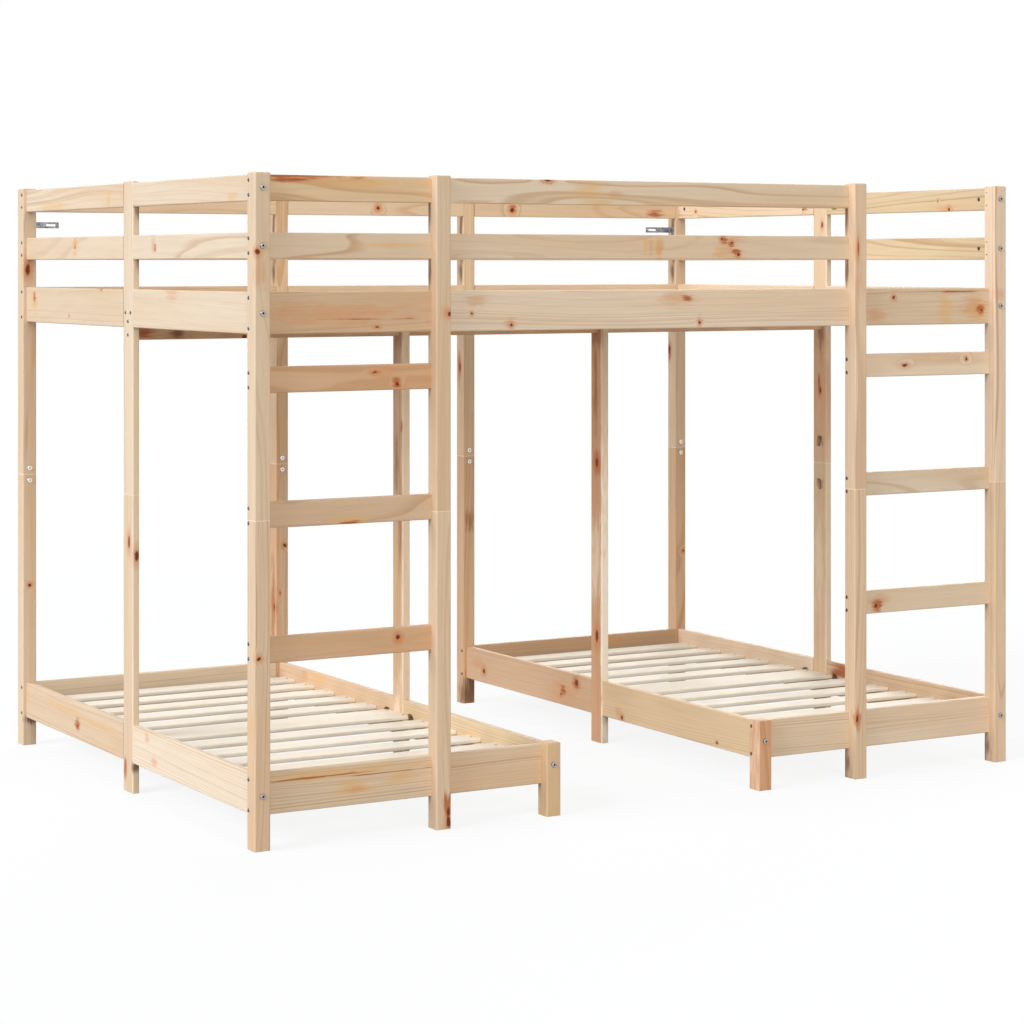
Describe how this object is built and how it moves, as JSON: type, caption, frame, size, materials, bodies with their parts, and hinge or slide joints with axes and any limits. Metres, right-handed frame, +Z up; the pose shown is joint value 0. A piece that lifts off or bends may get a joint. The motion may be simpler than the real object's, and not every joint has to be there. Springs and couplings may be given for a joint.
{
  "type": "triple bunk bed",
  "caption": "Pine family bunk bed: a wide high bunk with guard rails and end ladders over low slatted beds that stand side by side with a passage between them.",
  "frame": {"origin": "on the floor, under the middle of the bed", "axes": "+X from left to right along the front, +Y from front to back, +Z up"},
  "size_m": [2.081, 1.502, 1.454],
  "materials": {
    "pine": "satin",
    "slat_pine": "matte",
    "steel": "satin",
    "galvanised": "satin"
  },
  "bodies": {
    "root": {"back_bunk_rails": "pine", "back_guard_rails": "pine", "back_post_inner_left_lower": "pine", "back_post_inner_left_upper": "pine", "back_post_inner_right_lower": "pine", "back_post_inner_right_upper": "pine", "barrel_nuts": "steel", "beam_caps": "pine", "beam_webs": "pine", "bed_back_rails": "pine", "bed_front_rails": "pine", "bed_ledges": "pine", "bracket_screws": "steel", "bunk_ledges": "pine", "bunk_slats": "slat_pine", "centre_slats": "slat_pine", "double_screws": "steel", "dowels": "slat_pine", "end_bunk_rails": "pine", "end_guard_rails": "pine", "frame_bolts": "steel", "front_bunk_rails": "pine", "front_guard_rails": "pine", "inner_support_left": "pine", "inner_support_right": "pine", "joining_pins": "steel", "ladder_post_left_lower": "pine", "ladder_post_left_upper": "pine", "ladder_post_right_lower": "pine", "ladder_post_right_upper": "pine", "ladder_rungs_left": "pine", "ladder_rungs_right": "pine", "ledge_screws": "steel", "left_bed_inner_rails": "pine", "left_bed_outer_rails": "pine", "left_bed_slats": "slat_pine", "mid_plank_left_lower": "pine", "mid_plank_left_upper": "pine", "mid_plank_right_lower": "pine", "mid_plank_right_upper": "pine", "post_back_left_lower": "pine", "post_back_left_upper": "pine", "post_back_right_lower": "pine", "post_back_right_upper": "pine", "post_front_left_lower": "pine", "post_front_left_upper": "pine", "post_front_right_lower": "pine", "post_front_right_upper": "pine", "rail_screws": "steel", "right_bed_inner_rails": "pine", "right_bed_outer_rails": "pine", "right_bed_slats": "slat_pine", "seam_bolts": "steel", "short_leg_left": "pine", "short_leg_right": "pine", "slat_screws": "steel", "tie_rod_nuts": "steel", "tie_rods": "steel", "wall_brackets": "galvanised"}
  },
  "joints": []
}
